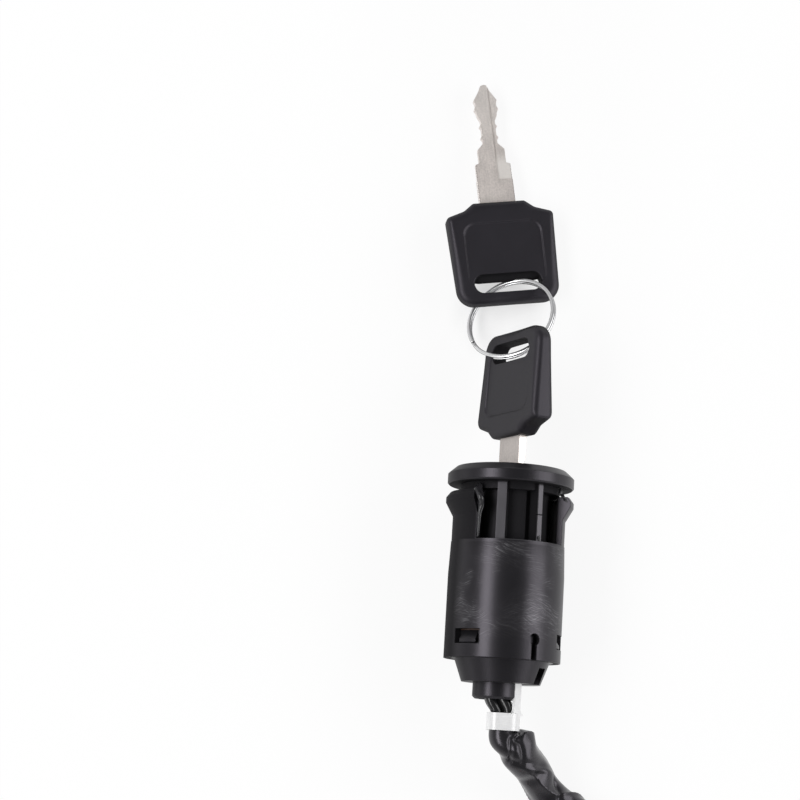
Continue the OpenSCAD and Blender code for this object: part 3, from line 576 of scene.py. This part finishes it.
class SWITCH_OT_stage(Operator):
    """Camera, table, soft boxes and white surroundings"""

    bl_idname = "ignition_switch.stage"
    bl_label = "Set the stage"

    def execute(self, context):
        stage = chosen("switch_stage")
        self.camera(context, stage)
        self.table()
        self.lamps(stage)
        self.surroundings(context, stage)
        context.scene.view_settings.view_transform = "Standard"
        return {"FINISHED"}

    def camera(self, context, stage):
        """Looks down at the switch, leaning towards the keys."""
        data = bpy.data.cameras.new("camera")
        data.lens = stage.lens
        data.sensor_width = 36
        data.clip_start = 0.01
        camera = bpy.data.objects.new("camera", data)
        context.scene.collection.objects.link(camera)
        turn = Matrix.Rotation(stage.tilt, 4, "X") @ Matrix.Rotation(stage.roll, 4, "Z")
        camera.matrix_world = Matrix.Translation(stage.camera) @ turn
        context.scene.camera = camera

    def table(self):
        """A wide table that shows as plain white, apart from soft shadows; less of the white shows near the
        switch and least inside the ring, which paints a shadow there.
        """
        reach, drop = 3.0, 0.02 * MM
        corners = np.array([[(-reach, -reach), (reach, -reach)], [(-reach, reach), (reach, reach)]])
        points = np.concatenate([corners, np.full((2, 2, 1), TABLE_Z - drop)], -1)
        table = surface("table", points, close_columns=False)
        finish = Finish("table_white", (0.93, 0.93, 0.935), 0.9, fixed={"Specular IOR Level": 0.0})
        white = finish.node("ShaderNodeEmission", {}, {"Color": (1, 1, 1, 1), "Strength": 1.0})
        table_top = Socket(finish, finish.shader.outputs[0])
        ring_x, ring_y = -4 * MM, 48 * MM
        across, along = finish.axis("X") - ring_x, finish.axis("Y") - ring_y
        # Painted shadow: less of the white shows near the switch, and least inside the ring
        painted_ring_shadow = 1 - ((across * across + along * along) ** 0.5).past(11 * MM, 4 * MM)
        plain = abs(across).past(40 * MM, 20 * MM) * 0.08 + 0.89 - painted_ring_shadow * 0.3
        mixed = finish.node("ShaderNodeMixShader", {}, {0: finish.seen() * plain, 1: table_top, 2: white})
        finish.end("Material Output", mixed)
        paint(finish.material, "table")

    def lamps(self, stage):
        """Two soft boxes, one to each side, that leave the middle of a black cylinder dark."""
        aim = np.array([0, 0.02, 0])
        for name, power, place, size in (
                ("left_box", stage.left_power, (-0.4, 0.0, 0.48), (0.22, 0.75)),
                ("right_box", stage.right_power, (0.52, 0.02, 0.3), (0.36, 0.75))):
            data = bpy.data.lights.new(name, "AREA")
            data.shape = "RECTANGLE"
            data.size, data.size_y = size
            data.energy = power
            lamp = bpy.data.objects.new(name, data)
            bpy.context.scene.collection.objects.link(lamp)
            z = unit(np.array(place) - aim)
            x = unit(np.cross([0, 1, 0], z))
            axes = Matrix(np.stack([x, np.cross(z, x), z], 1).tolist()).to_4x4()
            lamp.matrix_world = Matrix.Translation(place) @ axes

    def surroundings(self, context, stage):
        """A studio that is pale all round and darker overhead."""
        world = bpy.data.worlds.new("surroundings")
        world.use_nodes = True
        context.scene.world = world
        graph = Graph(world.node_tree)
        way = graph.node("ShaderNodeTexCoord", output="Generated")
        height = graph.node("ShaderNodeSeparateXYZ", {}, {0: way}, "Z")
        strength = stage.horizon - height.between(0.1, 0.6) * (stage.horizon - stage.overhead)
        light = graph.node("ShaderNodeBackground", {}, {"Color": (1, 1, 1, 1), "Strength": strength})
        graph.end("World Output", light)


# Lead

class SWITCH_OT_lead(Operator):
    """Crumpled sleeve, wires, connector and clip"""

    bl_idname = "ignition_switch.lead"
    bl_label = "Make the lead"

    def execute(self, context):
        lead = chosen("switch_lead")
        self.sleeve(lead)
        self.bundle(lead)
        self.wires(lead)
        paint(drawn_metal("zinc_plate", (0.97, 0.97, 0.98), 0.34, (60, 400, 60), metallic=0.1), "cable_clip")
        paint(plain_plastic("connector_nylon", (0.72, 0.69, 0.62), 0.42), "connector_housing")
        return {"FINISHED"}

    def sleeve(self, lead):
        """A thin vinyl tube along its route, pressed flat where it would go through the table."""
        sides = 96
        path = spline(np.array(SLEEVE_ROUTE) * MM, 520)
        along = lengths(path)
        points = tube(path, self.sleeve_radius(lead, (along / MM)[:, None], around(sides)[None]), sides)
        points[..., 2] = np.maximum(points[..., 2], TABLE_Z)
        piece = surface("lead_sleeve_vinyl", points, caps=True)
        gloss = {"Coat Weight": 0.12, "Coat Roughness": 0.25, **VIOLET_GLOSS}
        finish = Finish("sleeve_vinyl", (0.0105, 0.0105, 0.0115), 0.24, fixed=gloss)
        crease = finish.noise(240, 2.0, 0.5, warp=0.8)
        finish.set("Roughness", crease * 0.14 + 0.2)
        finish.bump(crease, 0.06 * MM, 0.4)
        seat(piece, "switch", "sleeve_vinyl", finish.material, "lead_sleeve")

    def sleeve_radius(self, lead, s, v):
        """Radius of the sleeve s millimetres along it and at angle v: it widens from the clip, and is
        multiplied by 1 plus twisted folds, a flattening, ripples, creases, and kinks on one side of it."""
        neck = lead.neck_diameter / 2
        full = lead.sleeve_diameter / 2
        body = neck + (full - neck) * smoothstep(4.0, 8.5, s)
        loose = smoothstep(4.1, 6.5, s)
        fold = 1 - np.abs(np.sin(1.5 * v + 0.2 * s + 0.9 * np.sin(0.17 * s)))
        fold = fold * (1 - 0.8 * (1 - smoothstep(10, 18, s)) * (0.5 - 0.5 * np.cos(v - 0.3)))
        flat = np.cos(2 * v + 0.11 * s + 0.8 * np.sin(0.09 * s))
        ripple = np.sin(3 * v - 0.4 * s + 1.7 * np.sin(0.4 * s)) * np.sin(0.55 * s + 2 * np.sin(v))
        kinks = sum(
            deep * np.exp(-((s - place) / wide) ** 2) * np.maximum(np.cos(v - turn), 0) ** 2
            for place, wide, turn, deep in SLEEVE_KINKS)
        creases = sum(
            deep * np.exp(-((v - first - (last - first) * (s - low) / (high - low)) / wide) ** 2)
            * smoothstep(low - 1, low + 1, s) * (1 - smoothstep(high - 1.5, high + 1.5, s))
            for low, high, first, last, wide, deep in SLEEVE_CREASES)
        dents = creases + kinks + 0.16 * fold ** 3 - 0.01 + 0.05 * flat + 0.008 * ripple
        return body * (1 + loose * dents)

    def bundle(self, lead):
        """Short lengths of the wires round a core, twisted, as seen between the collar and the clip."""
        path = spline(np.array(BUNDLE_ROUTE) * MM, 60)
        side, up = path_axes(path)
        wire, core, sides = 0.6 * lead.wire_diameter, 0.56 * lead.wire_diameter, 24
        first, twist, spread = 0.35, 0.5, 1.35 * lead.spread
        tubes = []
        for k in range(lead.wires):
            turn = 2 * np.pi * (k + first) / lead.wires + np.linspace(0, twist, len(path))[:, None]
            tubes.append(tube(path + spread * (np.cos(turn) * side + np.sin(turn) * up), wire, sides))
        tubes.append(tube(path, core, sides))
        piece = surface("bundle_wires", *tubes, caps=True)
        seat(piece, "switch", "wire_black", plain_plastic("wire_black", WIRE_BLACK, 0.2), "lead_tails")

    def wires(self, lead):
        """Four wires that spread from the sleeve's end to the connector's ways."""
        route = np.array(WIRE_ROUTE) * MM
        spread = np.clip((np.arange(len(route)) - 1) / (len(route) - 3), 0, 1)
        reach = lead.spread + (lead.pitch / 2 - lead.spread) * spread
        colors = {1: ("black", WIRE_BLACK), 2: ("red", (0.3, 0.012, 0.012)),
                  3: ("brown", (0.1, 0.04, 0.018)), 4: ("green", (0.02, 0.12, 0.04))}
        for k, (word, color) in colors.items():
            across = 1 if k % 2 == 0 else -1
            rise = 1 if k > 2 else -1
            points = route + np.stack([0 * reach, across * reach, rise * reach], 1)
            path = spline(points, 120)
            piece = surface(f"wire_{word}", tube(path, lead.wire_diameter / 2, 20), caps=True)
            material = plain_plastic(f"insulation_{word}", color, 0.25, depth=0.008)
            seat(piece, "switch", f"wire_{word}", material, f"lead_wire_{k}")


# Mouldings

class SWITCH_OT_mouldings(Operator):
    """Black housing and cover, with torn flash"""

    bl_idname = "ignition_switch.mouldings"
    bl_label = "Finish the mouldings"

    def execute(self, context):
        moulding = chosen("switch_moulding")
        paint(black_moulding("housing_black", moulding, scuffs_and_painted_light=True), "housing")
        paint(black_moulding("cover_black", moulding), "bottom_cover")
        torn = plain_plastic("flash_black", (0.024, 0.023, 0.026), 0.24)
        seat(self.flash(), "switch", "black_moulding", torn)
        return {"FINISHED"}

    def flash(self):
        """Torn flash on the tongues' edges, a hook and a rib's foot: tubes whose radius swells and shrinks
        along and round them, and tapers at both ends."""
        rows, sides = 70, 20
        u = np.linspace(0, 1, rows)[:, None]
        v = around(sides)[None]
        lumps = 0.34 * np.sin(15 * u + 2 * v) + 0.2 * np.sin(27 * u - v + 1)
        swell = 1 + lumps * (1 - 0.9 * smoothstep(0.3, 0.55, u))
        taper = np.sin(np.pi * (0.08 + 0.84 * u)) ** 0.6 * (1.15 - 0.65 * smoothstep(0.2, 0.6, u))
        grids = []
        for width, stops in (LEFT_TONGUE_FLASH, RIGHT_TONGUE_FLASH, HOOK_FLASH, RIB_FLASH):
            turn, reach, height = np.array(stops).T
            turn = np.radians(turn)
            stops = np.stack([reach * np.sin(turn), height, reach * np.cos(turn)], 1) * MM
            grids.append(tube(spline(stops, rows), width * MM * taper * swell, sides))
        return surface("moulding_flash", *grids, caps=True)


# Lock and contacts

class SWITCH_OT_works(Operator):
    """Lock plug, wafers, springs, seal and contacts"""

    bl_idname = "ignition_switch.works"
    bl_label = "Finish the works"

    def execute(self, context):
        paint(drawn_metal("cast_zinc", (0.42, 0.41, 0.39), 0.45, (90, 90, 90), 0.2), "lock_plug")
        paint(drawn_metal("wafer_brass", (0.6, 0.43, 0.17), 0.35), *[f"wafer_{i}" for i in range(1, 8)])
        springs = ("wafer_springs", "plug_clip", "detent_spring", "contact_springs")
        paint(drawn_metal("spring_steel", (0.5, 0.51, 0.53), 0.28, edge=0.05), *springs)
        paint(plain_plastic("seal_rubber", (0.014, 0.014, 0.014), 0.7, 900), "plug_seal")
        paint(plain_plastic("rotor_acetal", (0.66, 0.63, 0.54), 0.45), "contact_rotor")
        paint(drawn_metal("ball_steel", (0.64, 0.65, 0.66), 0.16), "detent_ball")
        brass = ("contact_bridge", "fixed_contacts", "connector_terminals")
        paint(drawn_metal("contact_brass", (0.58, 0.39, 0.14), 0.32), *brass)
        paint(plain_plastic("base_phenolic", (0.05, 0.024, 0.014), 0.5, 700, 0.03), "contact_base")
        return {"FINISHED"}


# Keys

class SWITCH_OT_keys(Operator):
    """Moulded bows and satin blades"""

    bl_idname = "ignition_switch.keys"
    bl_label = "Make the keys"

    spare_place = (-6.8 * MM, 76.6 * MM, -11.1 * MM)
    spare_turns = ((180, "Z"), (6.5, "Y"), (-2.1, "X"), (9.6, "Z"))

    def execute(self, context):
        key = chosen("switch_key")
        # Painted light: the spare's blade is lighter and the key's darker, lit and shaded copies of one metal
        for body, frame, painted_light_gain, web in (
                ("key", self.key_frame(), 0.9, 0.0), ("spare", self.spare_frame(), 1.25, 1.7 * MM)):
            points = self.bow(key, web) @ np.array(frame.to_3x3()).T + np.array(frame.translation)
            piece = surface(f"{body}_bow_moulding", points, close_rows=True)
            seat(piece, body, "key_plastic", self.plastic(f"{body}_plastic", key, frame), f"{body}_bow")
            paint(self.metal(f"{body}_metal", [painted_light_gain * c for c in key.metal], frame), f"{body}_blade")
        return {"FINISHED"}

    def key_frame(self):
        """The key's own axes: X is the ring's hinge, and Y is the lock's axis, from the bow's blade side."""
        x = np.array(JOINTS["ring_swing"]["axis"])
        y = np.array([0, 1, 0])
        axes = np.stack([x, y, np.cross(x, y)], 1)
        return Matrix.Translation((0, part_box("key_bow")[0][1], 0)) @ Matrix(axes.tolist()).to_4x4()

    def spare_frame(self):
        """The spare key's axes, from how it lies on the table."""
        frame = Matrix.Identity(4)
        for degrees, axis in self.spare_turns:
            frame = Matrix.Rotation(math.radians(degrees), 4, axis) @ frame
        return Matrix.Translation(self.spare_place) @ frame

    def outline(self, key):
        """Reach of the bow's outline from the slot's middle, as a function of the angle: straight sides, with
        an arc at each corner."""
        half, end = key.bow_width / 2, key.bow_end_width / 2
        right = np.array([
            (6.8 * MM, 0.7 * MM), (9.3 * MM, 2.6 * MM), (half, 4.1 * MM), (end, key.bow_length)])
        corners = np.concatenate([right, right[::-1] * (-1, 1)])
        radii = np.array([0.8, 3, 1.1, 4.5, 4.5, 1.1, 3, 0.8]) * MM
        before = unit(corners - np.roll(corners, 1, 0))
        after = unit(np.roll(corners, -1, 0) - corners)
        bend = np.arctan2(before[:, 0] * after[:, 1] - before[:, 1] * after[:, 0], (before * after).sum(1))
        start = corners - before * (radii * np.tan(np.abs(bend) / 2))[:, None]
        left = np.stack([-before[:, 1], before[:, 0]], 1)
        centre = start + left * (radii * np.sign(bend))[:, None]
        turn = bend[:, None] * np.linspace(0, 1, 24)
        spoke = (start - centre)[:, None]
        spun = np.stack([
            spoke[..., 0] * np.cos(turn) - spoke[..., 1] * np.sin(turn),
            spoke[..., 0] * np.sin(turn) + spoke[..., 1] * np.cos(turn)], -1)
        edge = (centre[:, None] + spun).reshape(-1, 2)
        edge = np.concatenate([edge, edge[:1]])
        dense = np.linspace(0, len(edge) - 1, 6000)
        edge = np.stack([np.interp(dense, np.arange(len(edge)), edge[:, k]) for k in range(2)], 1)
        edge = edge - (0, key.slot_place)
        angle = np.arctan2(edge[:, 1], edge[:, 0])
        order = np.argsort(angle)
        return lambda t: np.interp(t, angle[order], np.hypot(*edge[order].T), period=2 * np.pi)

    def slot_reach(self, key, t):
        """Reach of the slot's round-ended outline from its middle, at angle t."""
        r = key.slot_height / 2
        straight = key.slot_length / 2 - r
        side = r / np.maximum(np.abs(np.sin(t)), 1e-9)
        c, s = np.abs(np.cos(t)) * straight, np.sin(t) * straight
        end = c + np.sqrt(np.maximum(r * r - s * s, 0))
        return np.where(np.abs(side * np.cos(t)) <= straight, side, end)

    def bow(self, key, web):
        """The bow round its slot: t turns about the slot, and the section goes up the rim, over its round
        edge, across the face, down the slot's wall to a web on the blade's side, and back below."""
        t = np.linspace(np.pi, -np.pi, 420, endpoint=False)
        t = t - 0.17 * np.sin(2 * t)
        inner = self.slot_reach(key, t)[:, None]
        outer = self.outline(key)(t)[:, None]
        rim, round_down, lip, wall = 2.3 * MM, 1.7 * MM, 0.45 * MM, 1.3 * MM
        web = web * smoothstep(0.05, 0.35, -np.sin(t))[:, None]
        arc = np.linspace(0, np.pi / 2, 13)
        down = np.linspace(0, 1, 6)[1:]
        across = np.linspace(0, 1, 82)[1:-1]
        reach = np.concatenate([
            outer - rim * (1 - np.cos(arc)),
            (outer - rim) + (inner + lip - outer + rim) * across,
            inner + lip * (1 - np.sin(arc)),
            inner + 0 * down], 1)
        drop = np.concatenate([
            round_down * (1 - np.sin(arc)), 0 * across, lip * (1 - np.cos(arc)), lip + wall * down])
        x = reach * np.cos(t)[:, None]
        y = reach * np.sin(t)[:, None] + key.slot_place
        y[:, -len(down):] += web * down ** 2
        half = (key.thick + (key.thin - key.thick) * y / key.bow_length) / 2
        z = half - drop - key.panel_depth * self.panel(key, x, y)
        front = np.stack([x, y, z], -1)
        back = np.stack([x, y, -z], -1)[:, ::-1]
        return np.concatenate([front, back], 1)

    def panel(self, key, x, y):
        """1 on the sunk face, which is a rounded rectangle that opens into the slot, and 0 outside it."""
        half_width, corner = 10.3 * MM, 3.2 * MM
        low, high = 6.3 * MM, key.slot_place + 1 * MM
        qx = np.abs(x) - (half_width - corner)
        qy = np.abs(y - (low + high) / 2) - ((high - low) / 2 - corner)
        away = np.hypot(np.maximum(qx, 0), np.maximum(qy, 0)) + np.minimum(np.maximum(qx, qy), 0) - corner
        return 1 - smoothstep(-0.35 * MM, 0.05 * MM, away)

    def metal(self, name, metal, frame):
        """Satin plate along the blade: etched speckle, paler towards the tip, with a bright cut at the
        groove's end and shiny edges."""
        finish = Finish(name, metal, 0.5, 0.5, frame=frame)
        along, across, up = (finish.axis(letter) for letter in "YXZ")
        lines = finish.noise(1.0, 3.0, 0.6, finish.mapped(scale=(2600, 320, 2600)))
        cloud = finish.noise(170, 3.0)
        spots = finish.noise(1900, 2.0, 0.7)
        side = across * up.math("SIGN", up)
        groove = (1 - side.past(-0.85 * MM, 0.1 * MM)) * (1 - along.past(-5.8 * MM, 0.2 * MM))
        cut = groove * along.between(-14 * MM, -9.5 * MM)
        tone = lines * 0.3 + cloud * 0.4 + spots * 0.45 - 0.1
        worn = (1 - along.between(-30 * MM, -6 * MM)) * 0.35
        color = finish.tones(tone.between(0.2, 0.85), metal, 0.72, 1.2)
        finish.set("Base Color", finish.mix(worn + cut * 0.8, color, (0.95, 0.91, 0.87)))
        rim = abs(across).past(4.56 * MM, 0.06 * MM)
        finish.set("Metallic", rim * 0.5 + 0.5)
        finish.set("Roughness", cloud * 0.12 + spots * 0.12 + 0.34 - rim * 0.2)
        finish.bump(lines * 0.4 + spots * 0.7, 0.02 * MM, 0.5, 0.1 * MM)
        return finish.material

    def plastic(self, name, key, frame):
        """Fine-grained black plastic, dull at a grazing view, with painted shade down the slot's wall."""
        gloss = {"Specular IOR Level": 0.45, **VIOLET_GLOSS}
        finish = Finish(name, key.plastic, 0.46, fixed=gloss, frame=frame)
        across, along, up = finish.axis("X"), finish.axis("Y") - key.slot_place, finish.axis("Z")
        end = key.slot_height / 2
        beyond = (abs(across) - (key.slot_length / 2 - end)).most(0.0)
        reach = (beyond * beyond + along * along) ** 0.5
        # Painted shade down the slot's wall
        wall = (1 - reach.past(end + 0.2 * MM, 0.1 * MM)) * (1 - abs(up).past(2.2 * MM, 0.3 * MM))
        finish.shade(wall.most(finish.facing().between(0.3, 0.7) * 0.7))
        tone = finish.noise(110, 3.0)
        grain = finish.noise(3200, 2.0, 0.65)
        finish.set("Base Color", finish.tones(tone, key.plastic, 0.85, 1.25))
        finish.set("Roughness", tone * 0.1 + grain * 0.08 + 0.36)
        finish.bump(grain, 0.03 * MM, 0.6)
        return finish.material


# Ring

class SWITCH_OT_ring(Operator):
    """Split ring of two close turns"""

    bl_idname = "ignition_switch.ring"
    bl_label = "Make the split ring"

    place = (-1.7 * MM, 44.6 * MM, -6.8 * MM)
    tilt = math.radians(33.4)
    heading = math.radians(-128.3)

    def execute(self, context):
        ring = chosen("switch_ring")
        points = self.turns(ring)
        frame = Matrix.Rotation(self.heading, 4, "Z") @ Matrix.Rotation(self.tilt, 4, "X")
        points = points @ np.array(frame.to_3x3()).T + np.array(self.place)
        piece = surface("split_ring_wire", points, caps=True)
        seat(piece, "ring", "bright_steel", self.steel(), "split_ring")
        return {"FINISHED"}

    def turns(self, ring):
        """A flat helix of two turns with a crossing half way: (R + a) (cos u, sin u), z(u) + b, over a
        section (a, b) with round edges."""
        u = np.linspace(ring.lap, 4 * np.pi - ring.lap, 720)[:, None]
        v = np.linspace(2 * np.pi, 0, 32, endpoint=False)[None]
        power, gap, crossing = 0.75, 0.03 * MM, math.radians(15)
        a = 0.5 * ring.wire_width * np.sign(np.cos(v)) * np.abs(np.cos(v)) ** power
        b = 0.45 * ring.wire_height * np.sign(np.sin(v)) * np.abs(np.sin(v)) ** power
        lift = (ring.wire_height / 2 + gap) * np.clip((u - 2 * np.pi) / crossing, -1, 1)
        r = ring.radius + a
        return np.stack([r * np.cos(u), r * np.sin(u), lift + b], -1)

    def steel(self):
        """Bright drawn wire with faint handling marks, and painted shade that darkens its colour where its
        sides turn from the view.
        """
        bright, dark = (0.9, 0.9, 0.91), (0.05, 0.05, 0.055)
        finish = Finish("ring_steel", bright, 0.3, 1.0)
        # Painted shade: the wire's colour darkens where its sides turn from the view
        finish.set("Base Color", finish.mix(finish.facing().between(0.34, 0.66), bright, dark))
        finish.set("Roughness", finish.noise(700, 3.0, 0.6) * 0.1 + 0.28)
        return finish.material


# Panel and registration

class SWITCH_PT_sidebar(Panel):
    """Lists the steps that dress the switch"""

    bl_idname = "SWITCH_PT_sidebar"
    bl_label = "Ignition switch"
    bl_space_type = "VIEW_3D"
    bl_region_type = "UI"
    bl_category = "Ignition switch"

    def draw(self, context):
        for operator in OPERATORS:
            self.layout.operator(operator.bl_idname)
        for group in GROUPS:
            settings = getattr(context.scene, group)
            box = self.layout.box()
            for name in settings.__annotations__:
                box.prop(settings, name)


OPERATORS = (
    SWITCH_OT_stage, SWITCH_OT_lead, SWITCH_OT_mouldings, SWITCH_OT_works, SWITCH_OT_keys, SWITCH_OT_ring)
CLASSES = (*GROUPS.values(), *OPERATORS, SWITCH_PT_sidebar)


def register():
    for item in CLASSES:
        bpy.utils.register_class(item)
    for name, group in GROUPS.items():
        setattr(bpy.types.Scene, name, PointerProperty(type=group))


def unregister():
    for name in GROUPS:
        delattr(bpy.types.Scene, name)
    for item in reversed(CLASSES):
        bpy.utils.unregister_class(item)


def main():
    register()
    bpy.ops.ignition_switch.stage()
    bpy.ops.ignition_switch.lead()
    bpy.ops.ignition_switch.mouldings()
    bpy.ops.ignition_switch.works()
    bpy.ops.ignition_switch.keys()
    bpy.ops.ignition_switch.ring()


if __name__ == "__main__":
    main()
